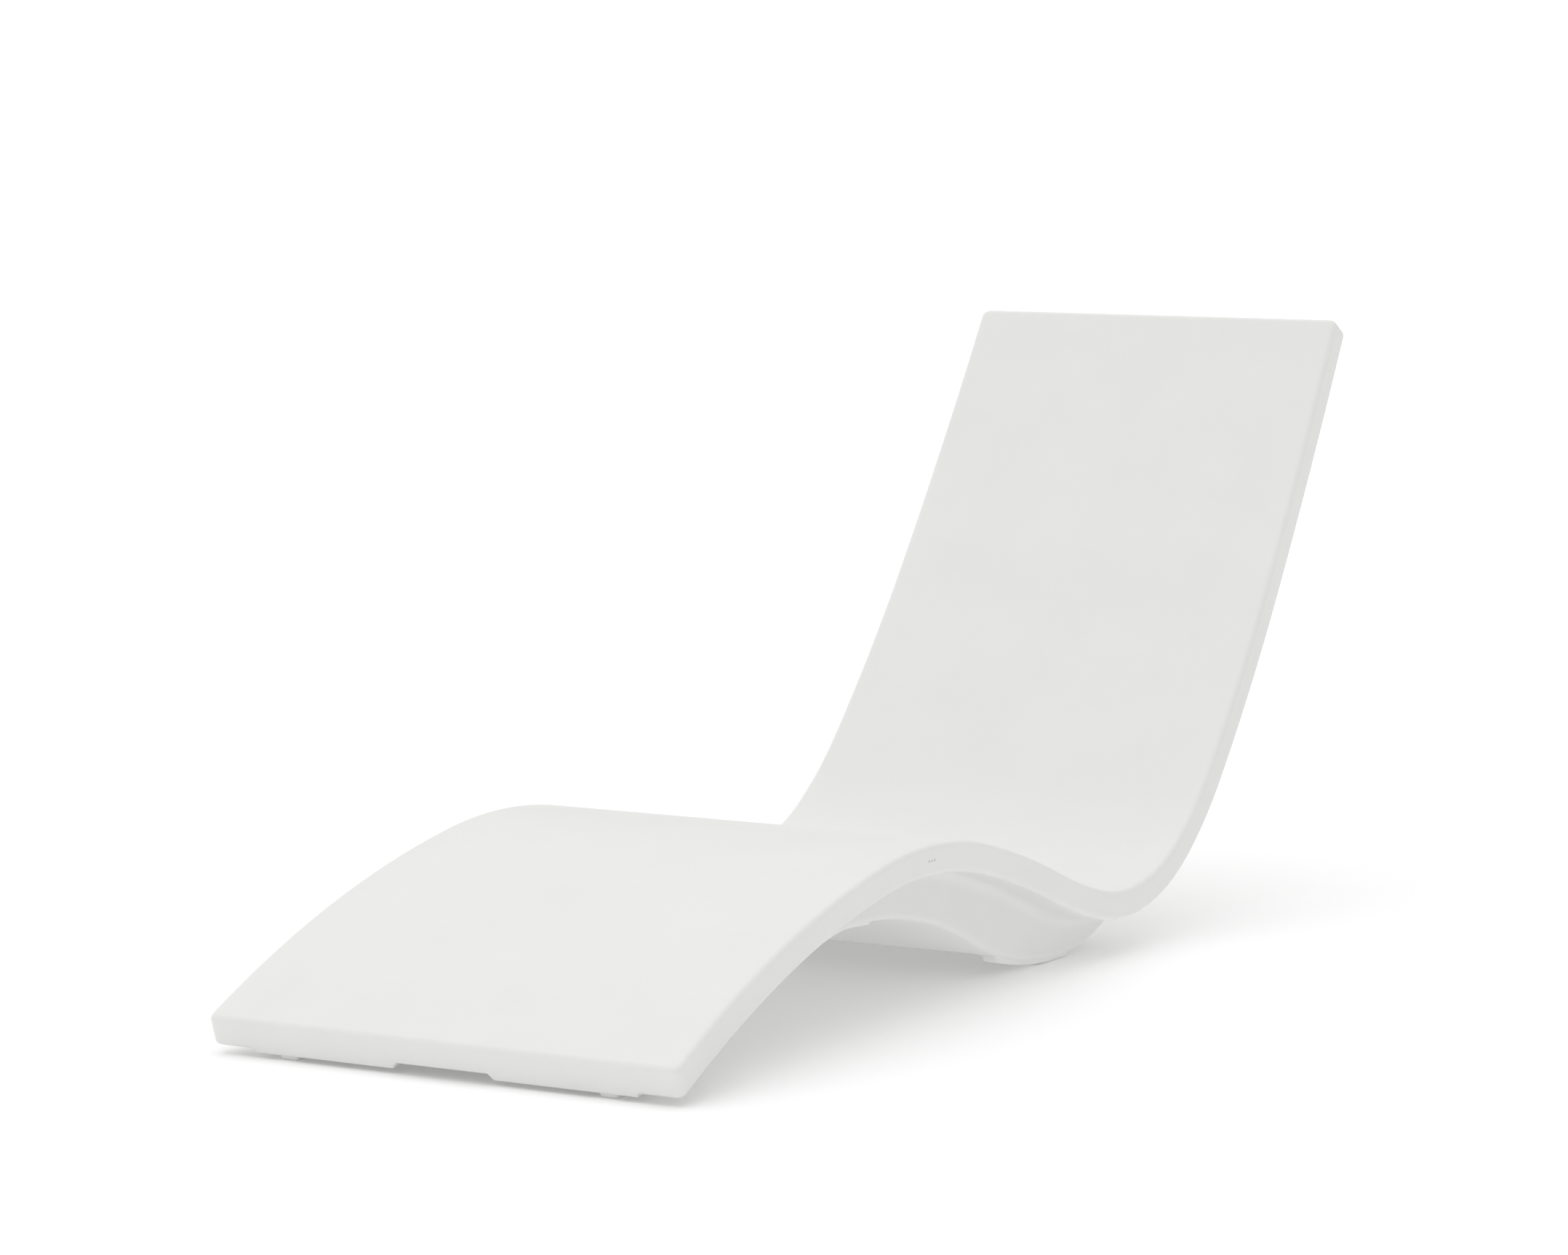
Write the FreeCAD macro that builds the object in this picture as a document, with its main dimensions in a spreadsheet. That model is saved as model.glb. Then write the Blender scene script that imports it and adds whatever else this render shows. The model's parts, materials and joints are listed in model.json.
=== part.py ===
import FreeCAD, Part
import math
import os
from FreeCAD import Placement, Rotation, Vector

# In-pool lounger: a one-piece hollow moulded shell that is filled with water to weigh it down,
# standing on four skids, with a fill port and a drain port in the back face.
# X is across the seat, +Y runs from the foot to the head, +Z is up, and the floor is Z = 0.

doc = FreeCAD.newDocument("pool_lounger")

# ---------------------------------------------------------------- driving sizes (mm, degrees)
sizes = [
    ("foot_width", 680.0, "overall width at the foot"),
    ("head_width", 587.0, "overall width at the head"),
    ("panel_thickness", 40.0, "thickness of the body panel"),
    ("shell_wall", 6.0, "moulded wall"),
    ("edge_radius", 7.5, "rounding all round the panel"),
    ("corner_radius", 12.0, "rounding of the four corners, seen from above"),
    ("toe_lean", 18.5, "lean of the foot end face from upright"),
    # body panel, top face: runs of tangent arcs from foot to head, each with its end heading
    ("toe_heading", 27.3, "heading of the top face at the foot"),
    ("calf_run", 537.0, "calf slope"),
    ("calf_heading", 9.8, ""),
    ("knee_run", 305.0, "knee crest"),
    ("knee_heading", -14.4, ""),
    ("thigh_run", 211.0, "thigh slope"),
    ("thigh_heading", -21.4, ""),
    ("seat_run", 128.0, "front of the seat"),
    ("seat_heading", -14.1, ""),
    ("hip_run", 266.0, "turn from seat to back"),
    ("hip_heading", 34.3, ""),
    ("lumbar_run", 128.0, "small of the back"),
    ("lumbar_heading", 47.7, ""),
    ("back_run", 302.0, "back"),
    ("back_heading", 54.8, ""),
    ("head_run", 441.0, "shoulders and head"),
    ("head_heading", 58.9, ""),
    # keel under the panel: inset side walls and a bottom line of tangent arcs
    ("keel_inset", 64.0, "keel side wall, in from the panel edge"),
    ("keel_edge_radius", 8.0, "rounding of the keel's bottom edges"),
    ("keel_step", 2.7, "keel below the panel at the foot"),
    ("heel_clearance", 6.6, "lowest point of the keel above the floor"),
    ("keel_toe_heading", 11.7, "heading of the keel bottom at the foot"),
    ("keel_ramp_run", 448.0, "ramp under the calf"),
    ("keel_ramp_heading", 16.2, ""),
    ("keel_arch_run", 131.0, "top of the arch under the knee"),
    ("keel_arch_heading", -1.7, ""),
    ("keel_fall_run", 311.0, "fall from the arch to the heel"),
    ("keel_fall_heading", -24.8, ""),
    ("keel_sole_run", 155.0, "front of the heel"),
    ("keel_sole_heading", -8.3, ""),
    ("keel_heel_run", 114.0, "bottom of the heel"),
    ("keel_heel_heading", -0.8, ""),
    ("keel_tail_run", 230.0, "back of the heel, rising into the seat"),
    ("keel_tail_heading", 41.0, ""),
    ("channel_start", 945.0, "flat channel between the heels starts this far from the foot"),
    ("channel_height", 33.0, "channel ceiling above the floor"),
    ("channel_width", 440.0, "width between the heels"),
    # hand hold under the foot edge
    ("hold_width", 148.0, "hand hold"),
    ("hold_length", 60.0, "hand hold, along the keel"),
    ("hold_depth", 8.0, "hand hold, up from the keel bottom"),
    # skids
    ("skid_proud", 7.1, "skid below the keel bottom"),
    ("skid_embed", 2.0, "skid seated into the keel wall"),
    ("skid_radius", 5.5, "rounding of the skids' ground edges"),
    ("front_skid_offset", 231.0, "front skid from the centre line"),
    ("front_skid_width", 34.0, "front skid"),
    ("front_skid_start", 19.0, "front skid from the foot"),
    ("front_skid_end", 620.0, "front skid's far end from the foot"),
    ("front_pad_length", 32.0, "flat ground pad at the front skid's toe"),
    ("front_pad_slope", 35.0, "slope from the ground pad up to the skid"),
    ("rear_skid_offset", 235.0, "rear skid from the centre line"),
    ("rear_skid_width", 26.0, "rear skid"),
    ("rear_skid_start", 956.0, "rear skid from the foot"),
    ("rear_skid_end", 1160.0, "rear skid's far end from the foot"),
    # air vents through both edges of the panel at the knee
    ("vent_diameter", 2.6, "air vent"),
    ("vent_pitch", 7.7, "distance between vents"),
    ("vent_station", 667.0, "middle vent, along the top face from the foot"),
    # ports in the back face, each with a bushing, a sealing ring and a screw plug
    ("fill_station", 2030.0, "fill port, along the top face from the foot"),
    ("drain_station", 1515.0, "drain port, along the top face from the foot"),
    ("recess_radius", 34.0, "round recess for the plug head"),
    ("recess_depth", 14.0, "recess below the back face"),
    ("boss_wall", 6.0, "wall round the bushing and under the recess"),
    ("bushing_radius", 24.0, "bushing barrel, outside"),
    ("bushing_length", 14.0, "bushing barrel"),
    ("bushing_bore", 17.0, "bushing bore radius"),
    ("flange_radius", 28.0, "bushing flange"),
    ("flange_thickness", 3.0, "bushing flange"),
    ("shank_clearance", 0.3, "plug shank to bushing bore, on the radius"),
    ("shank_length", 16.0, "plug shank below the head"),
    ("shank_wall", 4.0, "plug shank wall"),
    ("ring_cord", 3.0, "sealing ring cord diameter"),
    ("ring_clearance", 0.05, "sealing ring to plug shank, on the radius"),
    ("seat_gap", 0.1, "gap above and below the sealing ring"),
    ("plug_radius", 30.0, "plug head"),
    ("plug_thickness", 7.0, "plug head"),
    ("dish_radius", 24.0, "finger dish in the plug head"),
    ("dish_depth", 4.0, "finger dish"),
    ("bar_width", 8.0, "grip bar across the dish"),
    ("plug_edge", 1.2, "rounding of the plug head"),
]

sheet = doc.addObject("Spreadsheet::Sheet", "Sizes")
for row, (alias, value, note) in enumerate(sizes, start=1):
    sheet.set("A%d" % row, note or alias)
    sheet.set("B%d" % row, str(value))
    sheet.setAlias("B%d" % row, alias)
doc.recompute()


def size(alias):
    return float(sheet.get(alias))


def add_derived(alias, value, note):
    """Puts a worked-out size in the sheet, so that expressions can use it."""
    row = len(sizes) + 1
    sizes.append((alias, value, note))
    sheet.set("A%d" % row, note)
    sheet.set("B%d" % row, "%.6f" % value)
    sheet.setAlias("B%d" % row, alias)


# ---------------------------------------------------------------- chains of tangent arcs
# A joint is (y, z, heading, run): a place, its heading in radians and the run that led to it.
def chain_joints(start, heading, legs):
    joints = [(start[0], start[1], math.radians(heading), 0.0)]
    for run, end_heading in legs:
        y, z, turn_from, _ = joints[-1]
        turn_to = math.radians(end_heading)
        bend = (turn_to - turn_from) / run
        y += (math.sin(turn_to) - math.sin(turn_from)) / bend
        z -= (math.cos(turn_to) - math.cos(turn_from)) / bend
        joints.append((y, z, turn_to, run))
    return joints


def chain_place(joints, leg, fraction, offset=0.0):
    """Point on a leg, moved sideways by offset, with its heading."""
    y, z, turn_from, _ = joints[leg]
    _, _, turn_to, run = joints[leg + 1]
    bend = (turn_to - turn_from) / run
    turn = turn_from + (turn_to - turn_from) * fraction
    y += (math.sin(turn) - math.sin(turn_from)) / bend
    z -= (math.cos(turn) - math.cos(turn_from)) / bend
    return Vector(0, y - offset * math.sin(turn), z + offset * math.cos(turn)), turn


def chain_edges(joints, offset=0.0, backward=False):
    edges = []
    for leg in range(len(joints) - 1):
        ends = [chain_place(joints, leg, fraction, offset)[0] for fraction in (0.0, 0.5, 1.0)]
        if backward:
            ends.reverse()
        edges.append(Part.Arc(*ends).toShape())
    return list(reversed(edges)) if backward else edges


def chain_station(joints, distance, offset=0.0):
    """Point at a distance along the chain."""
    for leg in range(len(joints) - 1):
        run = joints[leg + 1][3]
        if distance <= run or leg == len(joints) - 2:
            return chain_place(joints, leg, distance / run, offset)
        distance -= run


def chain_lowest(joints, steps=200):
    heights = []
    for leg in range(len(joints) - 1):
        for step in range(steps + 1):
            heights.append(chain_place(joints, leg, step / steps)[0].z)
    return min(heights)


def closed_wire(edges):
    """Joins edges that run one after another, with straight lines across the gaps."""
    joined = []
    for edge, after in zip(edges, edges[1:] + edges[:1]):
        end = edge.valueAt(edge.LastParameter)
        start = after.valueAt(after.FirstParameter)
        joined.append(edge)
        if end.distanceToPoint(start) > 1e-6:
            joined.append(Part.LineSegment(end, start).toShape())
    return Part.Wire(joined)


top_legs = [
    (size(name + "_run"), size(name + "_heading"))
    for name in ("calf", "knee", "thigh", "seat", "hip", "lumbar", "back", "head")
]
keel_legs = [
    (size("keel_" + name + "_run"), size("keel_" + name + "_heading"))
    for name in ("ramp", "arch", "fall", "sole", "heel", "tail")
]

# The foot end face leans back. The keel starts on it, a small step below the panel, and the
# whole lounger is set at the height that leaves the heel its clearance above the floor.
lean = math.radians(size("toe_lean"))
toe_face = size("panel_thickness") / math.cos(math.radians(size("toe_heading")) - lean)
toe_depth = toe_face * math.cos(lean) + size("keel_step")
keel_start = (toe_depth * math.tan(lean), -toe_depth)
heel_legs = chain_joints(keel_start, size("keel_toe_heading"), keel_legs)[2:]
keel_low = chain_lowest(heel_legs)
toe_height = size("heel_clearance") - keel_low

# The origin is in the middle of the length, which runs from the foot to the back of the head.
unplaced = chain_joints((0.0, toe_height), size("toe_heading"), top_legs)
length = chain_place(unplaced, len(top_legs) - 1, 1.0, -size("panel_thickness"))[0].y
foot_y = -length / 2

top = chain_joints((foot_y, toe_height), size("toe_heading"), top_legs)
keel = chain_joints((foot_y + keel_start[0], toe_height + keel_start[1]),
                    size("keel_toe_heading"), keel_legs)
toe_top = Vector(0, foot_y, toe_height)
toe_bottom = toe_top + Vector(0, math.sin(lean), -math.cos(lean)) * toe_face
chord = Vector(0, top[-1][0], top[-1][1]) - toe_top

add_derived("foot_y", foot_y, "Y of the foot end")
add_derived("toe_height", toe_height, "top face at the foot, above the floor")
add_derived("chord_run", chord.Length, "straight from foot to head")
add_derived("chord_rise", math.degrees(math.atan2(chord.z, chord.y)), "slope of that line")
doc.recompute()


# ---------------------------------------------------------------- small helpers for objects
def outline(name, face):
    shape = doc.addObject("Part::Feature", name)
    shape.Shape = face
    return shape


def slab(name, base, half_width, centre="0"):
    """Extrudes an outline across the seat, centred on X = centre."""
    solid = doc.addObject("Part::Extrusion", name)
    solid.Base = base
    solid.DirMode = "Custom"
    solid.Dir = Vector(1, 0, 0)
    solid.Solid = True
    solid.setExpression("LengthFwd", "(%s) + (%s)" % (half_width, centre))
    solid.setExpression("LengthRev", "(%s) - (%s)" % (half_width, centre))
    return solid


def boolean(kind, name, first, *others):
    if kind == "Part::MultiFuse":
        result = doc.addObject(kind, name)
        result.Shapes = [first] + list(others)
        return result
    for index, other in enumerate(others):
        result = doc.addObject(kind, name if index == len(others) - 1 else name + "_%d" % (index + 1))
        result.Base = first
        result.Tool = other
        first = result
    return result


def side_taper(name, inset):
    """Wedge whose sides close in along the line from foot to head."""
    wedge = doc.addObject("Part::Wedge", name)
    reach = "Sizes.chord_run * 0.2"
    slope = "(Sizes.foot_width - Sizes.head_width) / 2 / Sizes.chord_run"
    near = "(Sizes.foot_width / 2 - (%s) + %s * %s)" % (inset, slope, reach)
    far = "(Sizes.head_width / 2 - (%s) - %s * %s)" % (inset, slope, reach)
    for prop, value in (
        ("Ymin", "-(%s)" % reach), ("Ymax", "Sizes.chord_run + %s" % reach),
        ("Xmin", "-" + near), ("Xmax", near), ("X2min", "-" + far), ("X2max", far),
        ("Zmin", "-Sizes.chord_run"), ("Zmax", "Sizes.chord_run"),
        ("Z2min", "-Sizes.chord_run"), ("Z2max", "Sizes.chord_run"),
        ("Placement.Base.y", "Sizes.foot_y"),
        ("Placement.Base.z", "Sizes.toe_height"),
        ("Placement.Rotation.Angle", "Sizes.chord_rise"),
    ):
        wedge.setExpression(prop, value)
    wedge.Placement = Placement(toe_top, Rotation(Vector(1, 0, 0), size("chord_rise")))
    return wedge


def block(name, low, high):
    """Box between two corners, each given as three expressions."""
    solid = doc.addObject("Part::Box", name)
    for prop, first, last in zip(("Length", "Width", "Height"), low, high):
        solid.setExpression(prop, "(%s) - (%s)" % (last, first))
    for axis, first in zip("xyz", low):
        solid.setExpression("Placement.Base." + axis, first)
    return solid


def sharp_edges(shape, least_angle=25.0):
    """Numbers of the edges whose two faces meet at an angle."""
    numbers = []
    for number, edge in enumerate(shape.Edges, start=1):
        faces = shape.ancestorsOfType(edge, Part.Face)
        if len(faces) != 2 or edge.Degenerated:
            continue
        middle = edge.valueAt((edge.FirstParameter + edge.LastParameter) / 2)
        normals = [face.normalAt(*face.Surface.parameter(middle)) for face in faces]
        if math.degrees(normals[0].getAngle(normals[1])) > least_angle:
            numbers.append(number)
    return numbers


def rounded(name, base, radius, picks=None):
    """Rounds the sharp edges of an object that picks() accepts."""
    doc.recompute()
    chosen = [
        number for number in sharp_edges(base.Shape)
        if picks is None or picks(base.Shape.Edges[number - 1])
    ]
    fillet = doc.addObject("Part::Fillet", name)
    fillet.Base = base
    fillet.Edges = [(number, radius, radius) for number in chosen]
    doc.recompute()
    return fillet


def across(edge):
    """True for an edge that runs through the panel's thickness at a corner."""
    straight = edge.Curve.TypeId == "Part::GeomLine"
    return straight and abs(edge.Length - size("panel_thickness")) < size("edge_radius") / 2


# ---------------------------------------------------------------- outlines in the YZ plane
def panel_wire():
    under = chain_edges(top, -size("panel_thickness"), backward=True)
    underside_start = under[-1].valueAt(under[-1].LastParameter)
    return closed_wire(chain_edges(top) + under + [Part.LineSegment(underside_start, toe_bottom).toShape()])


def region_face(joints, offset, side):
    """Everything above (side 1) or below (side -1) a chain, as far as the lounger reaches."""
    edges = chain_edges(joints, offset)
    far = Vector(0, 0, side * size("chord_run"))
    first = edges[0].valueAt(edges[0].FirstParameter) + far
    last = edges[-1].valueAt(edges[-1].LastParameter) + far
    return Part.Face(closed_wire(edges + [Part.LineSegment(last, first).toShape()]))


def band_face(joints, upper, lower):
    """Between two lines that run beside a chain."""
    return Part.Face(closed_wire(chain_edges(joints, upper) + chain_edges(joints, lower, backward=True)))


def beyond_face(point, heading, inset):
    """Large square beyond a line through point, moved inset along heading, for trimming an end."""
    reach = size("chord_run")
    along = Vector(0, math.cos(heading), math.sin(heading))
    side = Vector(0, -along.z, along.y)
    middle = point + along * inset
    corners = [middle - side * reach, middle + side * reach,
               middle + side * reach - along * reach, middle - side * reach - along * reach]
    return Part.Face(Part.makePolygon(corners + corners[:1]))


def keel_face(lift, wall):
    """Above the keel's bottom line, below the middle of the panel, and behind the foot end face."""
    below_middle = region_face(top, -size("panel_thickness") / 2, -1)
    face = region_face(keel, lift, 1).common(below_middle)
    return face.cut(beyond_face(toe_top, -lean, wall)).Faces[0]


def panel_cavity_face():
    wall = size("shell_wall")
    face = band_face(top, -wall, wall - size("panel_thickness"))
    face = face.cut(beyond_face(toe_top, -lean, wall))
    head, heading = chain_place(top, len(top_legs) - 1, 1.0)
    return face.cut(beyond_face(head, heading + math.pi, wall)).Faces[0]


def polygon_face(corners):
    points = [Vector(0, y, z) for y, z in corners]
    return Part.Face(Part.makePolygon(points + points[:1]))


def strip_face(start_name, end_name):
    """Skid: a strip along the keel's bottom, cut off flat at the floor."""
    start = foot_y + size(start_name)
    end = foot_y + size(end_name)
    reach = size("chord_run")
    window = polygon_face([(start, 0), (end, 0), (end, reach), (start, reach)])
    strip = band_face(keel, size("skid_embed"), -size("skid_proud"))
    return strip.common(window).Faces[0]


def pad_face():
    """Ground pad: flat on the floor, then sloping up, and filled up to the keel."""
    reach = size("chord_run")
    slope = math.radians(size("front_pad_slope"))
    start = foot_y + size("front_skid_start")
    end = start + size("front_pad_length")
    rise = (end + reach * math.cos(slope), reach * math.sin(slope))
    pad = polygon_face([(start, 0), (end, 0), rise, (start, reach)])
    return pad.common(region_face(keel, size("skid_embed"), -1)).Faces[0]


# ---------------------------------------------------------------- shell, outside
half = "Sizes.foot_width / 2 + Sizes.edge_radius"
panel_slab = slab("panel_slab", outline("panel_outline", Part.Face(panel_wire())), half)
panel_sides = side_taper("panel_sides", "0")
panel_blank = boolean("Part::Common", "panel_blank", panel_slab, panel_sides)
panel_corners = rounded("panel_corners", panel_blank, size("corner_radius"), across)
panel = rounded("panel", panel_corners, size("edge_radius"))

keel_slab = slab("keel_slab", outline("keel_outline", keel_face(0.0, 0.0)), half)
keel_sides = side_taper("keel_sides", "Sizes.keel_inset")
keel_blank = boolean("Part::Common", "keel_blank", keel_slab, keel_sides)


def keel_bottom_side(edge):
    """True for the long edges between the keel's bottom and its side walls."""
    box = edge.BoundBox
    middle = size("panel_thickness") / 2
    centre = edge.valueAt((edge.FirstParameter + edge.LastParameter) / 2)
    near = min(chain_place(top, leg, step / 20)[0].distanceToPoint(Vector(0, centre.y, centre.z))
               for leg in range(len(top_legs)) for step in range(21))
    return box.XLength < size("keel_inset") and near > middle + 1.0 and box.YLength > 1.0


keel_body = rounded("keel_body", keel_blank, size("keel_edge_radius"), keel_bottom_side)
channel_low = ("-Sizes.channel_width / 2", "Sizes.foot_y + Sizes.channel_start", "-Sizes.chord_run")
channel_high = ("Sizes.channel_width / 2", "Sizes.chord_run", "Sizes.channel_height")
channel = block("channel", channel_low, channel_high)
keel_heels = boolean("Part::Cut", "keel_heels", keel_body, channel)
outside = boolean("Part::MultiFuse", "outside", panel, keel_heels)

def hold_face(grow):
    """Notch in the keel's bottom, open at the foot end face; grow adds a wall round it."""
    ramp = keel[0][2]
    along = Vector(0, math.cos(ramp), math.sin(ramp))
    up = Vector(0, -along.z, along.y)
    start = Vector(0, keel[0][0], keel[0][1]) - along * size("hold_depth") * 2
    end = start + along * (size("hold_length") + grow)
    ceiling = size("hold_depth") + grow
    corners = [start - up * ceiling, end - up * ceiling, end + up * ceiling, start + up * ceiling]
    return Part.Face(Part.makePolygon(corners + corners[:1]))


# ---------------------------------------------------------------- shell, inside
inner_panel_slab = slab("inner_panel_slab", outline("inner_panel_outline", panel_cavity_face()), half)
inner_sides = side_taper("inner_sides", "Sizes.shell_wall")
inner_panel = boolean("Part::Common", "inner_panel", inner_panel_slab, inner_sides)
wall = size("shell_wall")
inner_keel_slab = slab("inner_keel_slab", outline("inner_keel_outline", keel_face(wall, wall)), half)
inner_keel_sides = side_taper("inner_keel_sides", "Sizes.keel_inset + Sizes.shell_wall")
inner_keel_blank = boolean("Part::Common", "inner_keel_blank", inner_keel_slab, inner_keel_sides)
grown = [("(%s) - Sizes.shell_wall" % low, "(%s) + Sizes.shell_wall" % high)
         for low, high in zip(channel_low, channel_high)]
channel_guard = block("channel_guard", [low for low, _ in grown], [high for _, high in grown])
inner_keel = boolean("Part::Cut", "inner_keel", inner_keel_blank, channel_guard)
hollow_blank = boolean("Part::MultiFuse", "hollow_blank", inner_panel, inner_keel)
hold_guard = slab("hold_guard", outline("hold_guard_outline", hold_face(wall)),
                  "Sizes.hold_width / 2 + Sizes.shell_wall")
hollow = boolean("Part::Cut", "hollow", hollow_blank, hold_guard)
shell_blank = boolean("Part::Cut", "shell_blank", outside, hollow)
hold = slab("hold", outline("hold_outline", hold_face(0.0)), "Sizes.hold_width / 2")


# ---------------------------------------------------------------- ports
# Levels in a port are measured outwards from the back face, along the port's own Z axis.
floor = "-Sizes.recess_depth"
flange_top = floor + " + Sizes.flange_thickness"
ring_low = flange_top + " + Sizes.seat_gap"
ring_high = ring_low + " + Sizes.ring_cord"
head_low = ring_high + " + Sizes.seat_gap"
head_high = head_low + " + Sizes.plug_thickness"
barrel_low = floor + " - Sizes.bushing_length"
shank_low = head_low + " - Sizes.shank_length"
shank_radius = "Sizes.bushing_bore - Sizes.shank_clearance"


def level(expression):
    return float(sheet.evalExpression(expression))


def port_place(station):
    """Place on the back face, with Z pointing out of it."""
    point, turn = chain_station(top, station, -size("panel_thickness"))
    return Placement(point, Rotation(Vector(1, 0, 0), 180 + math.degrees(turn)))


def disc(name, port, radius, low, high):
    solid = doc.addObject("Part::Cylinder", name)
    solid.setExpression("Radius", radius)
    solid.setExpression("Height", "(%s) - (%s)" % (high, low))
    solid.Placement = port.multiply(Placement(Vector(0, 0, level(low)), Rotation()))
    return solid


def port_boss(name, port):
    """Thick ring moulded into the back wall round the bushing."""
    rim = disc(name + "_rim", port, "Sizes.recess_radius + Sizes.boss_wall",
               floor + " - Sizes.boss_wall", "Sizes.recess_depth")
    barrel = disc(name + "_barrel", port, "Sizes.bushing_radius + Sizes.boss_wall", barrel_low, floor)
    both = boolean("Part::MultiFuse", name + "_blank", rim, barrel)
    return boolean("Part::Common", name, both, panel)


def port_cuts(name, port):
    recess = disc(name + "_recess", port, "Sizes.recess_radius", floor, "Sizes.recess_depth")
    bore = disc(name + "_bore", port, "Sizes.bushing_radius", barrel_low, floor)
    return recess, bore


def bushing(name, port):
    """Threaded insert: a flange on the recess floor and a barrel in the boss."""
    flange = disc(name + "_flange", port, "Sizes.flange_radius", floor, flange_top)
    barrel = disc(name + "_barrel", port, "Sizes.bushing_radius", barrel_low, floor)
    bore = disc(name + "_bore", port, "Sizes.bushing_bore", barrel_low, flange_top)
    blank = boolean("Part::MultiFuse", name + "_blank", flange, barrel)
    blank.Refine = True
    return boolean("Part::Cut", name, blank, bore)


def sealing_ring(name, port):
    ring = doc.addObject("Part::Torus", name)
    ring.setExpression("Radius2", "Sizes.ring_cord / 2")
    ring.setExpression("Radius1", shank_radius + " + Sizes.ring_clearance + Sizes.ring_cord / 2")
    middle = level(ring_low) + size("ring_cord") / 2
    ring.Placement = port.multiply(Placement(Vector(0, 0, middle), Rotation()))
    return ring


def screw_plug(name, port):
    """Hollow screw plug: a dished head with a grip bar across the dish."""
    head = disc(name + "_head", port, "Sizes.plug_radius", head_low, head_high)
    head_round = rounded(name + "_head_round", head, size("plug_edge"))
    shank = disc(name + "_shank", port, shank_radius, shank_low, head_low)
    core = disc(name + "_core", port, shank_radius + " - Sizes.shank_wall", shank_low, head_low)
    dish_low = head_high + " - Sizes.dish_depth"
    dish = disc(name + "_dish", port, "Sizes.dish_radius", dish_low, head_high)
    bar = doc.addObject("Part::Box", name + "_bar")
    bar.setExpression("Length", "Sizes.dish_radius * 2")
    bar.setExpression("Width", "Sizes.bar_width")
    bar.setExpression("Height", "Sizes.dish_depth")
    corner = Vector(-size("dish_radius"), -size("bar_width") / 2, level(dish_low))
    bar.Placement = port.multiply(Placement(corner, Rotation()))
    dish_sides = boolean("Part::Cut", name + "_dish_sides", dish, bar)
    blank = boolean("Part::MultiFuse", name + "_blank", head_round, shank)
    return boolean("Part::Cut", name, blank, dish_sides, core)


ports = {"fill": port_place(size("fill_station")), "drain": port_place(size("drain_station"))}
port_pieces = {}
for port_name, port in ports.items():
    port_pieces[port_name + "_bushing"] = bushing(port_name + "_bushing", port)
    port_pieces[port_name + "_ring"] = sealing_ring(port_name + "_ring", port)
    port_pieces[port_name + "_plug"] = screw_plug(port_name + "_plug", port)


# ---------------------------------------------------------------- skids
def skid(name, strip, offset, width, pad=None):
    """Skid strip pressed into a shallow groove in the keel's bottom."""
    half_width = "Sizes.%s / 2" % width
    blank = slab(name + "_strip", strip, half_width, offset)
    if pad:
        ground_pad = slab(name + "_pad", pad, half_width, offset)
        blank = boolean("Part::MultiFuse", name + "_blank", blank, ground_pad)
        blank.Refine = True
    doc.recompute()
    lowest = size("skid_proud") / 2

    def on_the_ground(edge):
        """True for the edges below the keel's bottom line."""
        centre = edge.valueAt((edge.FirstParameter + edge.LastParameter) / 2)
        below = Part.Vertex(Vector(0, centre.y, centre.z)).distToShape(keel_line)[0]
        return below > lowest

    return rounded(name, blank, size("skid_radius"), on_the_ground)


keel_line = Part.Wire(chain_edges(keel))
front_strip = outline("front_strip_outline", strip_face("front_skid_start", "front_skid_end"))
front_pad = outline("front_pad_outline", pad_face())
rear_strip = outline("rear_strip_outline", strip_face("rear_skid_start", "rear_skid_end"))
skids = {}
for side, sign in (("left", "-"), ("right", "")):
    skids["front_%s_skid" % side] = skid(
        "front_%s_skid" % side, front_strip, sign + "Sizes.front_skid_offset", "front_skid_width", front_pad)
    skids["rear_%s_skid" % side] = skid(
        "rear_%s_skid" % side, rear_strip, sign + "Sizes.rear_skid_offset", "rear_skid_width")

# ---------------------------------------------------------------- vents and the finished shell
vents = []
for index in (-1, 0, 1):
    place, turn = chain_station(top, size("vent_station") + index * size("vent_pitch"),
                                -size("panel_thickness") / 2)
    vent = doc.addObject("Part::Cylinder", "vent_%d" % (index + 2))
    vent.setExpression("Radius", "Sizes.vent_diameter / 2")
    vent.setExpression("Height", "Sizes.foot_width")
    vent.Placement = Placement(place - Vector(size("foot_width") / 2, 0, 0), Rotation(Vector(0, 1, 0), 90))
    vents.append(vent)

bosses = [port_boss(port_name + "_boss", port) for port_name, port in ports.items()]
shell_bossed = boolean("Part::MultiFuse", "shell_bossed", shell_blank, *bosses)
cuts = [cut for port_name, port in ports.items() for cut in port_cuts(port_name, port)]
shell_cuts = boolean("Part::MultiFuse", "shell_cuts", hold, *(cuts + vents + list(skids.values())))
shell = boolean("Part::Cut", "shell", shell_bossed, shell_cuts)
doc.recompute()

# ---------------------------------------------------------------- nodes
nodes = {"shell": shell}
nodes.update(skids)
nodes.update(port_pieces)
for name, piece in nodes.items():
    piece.Label = name

for piece in doc.Objects:
    if "Invalid" in piece.State or "Error" in piece.State:
        raise RuntimeError("%s failed: %s" % (piece.Name, piece.State))
for name, piece in nodes.items():
    shape = piece.Shape
    if shape.isNull() or not shape.isValid() or len(shape.Solids) != 1:
        raise RuntimeError("%s is not one valid solid" % name)

os.makedirs("parts", exist_ok=True)
for name, piece in nodes.items():
    piece.Shape.exportStep("parts/%s.step" % name)
    box = piece.Shape.optimalBoundingBox()
    print("%-18s %10.1f cm3  X %7.1f %7.1f  Y %7.1f %7.1f  Z %6.1f %6.1f" % (
        name, piece.Shape.Volume / 1000, box.XMin, box.XMax, box.YMin, box.YMax, box.ZMin, box.ZMax))
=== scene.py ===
import json
import math
import bpy
import bmesh
from mathutils import Matrix, Vector, Euler


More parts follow.
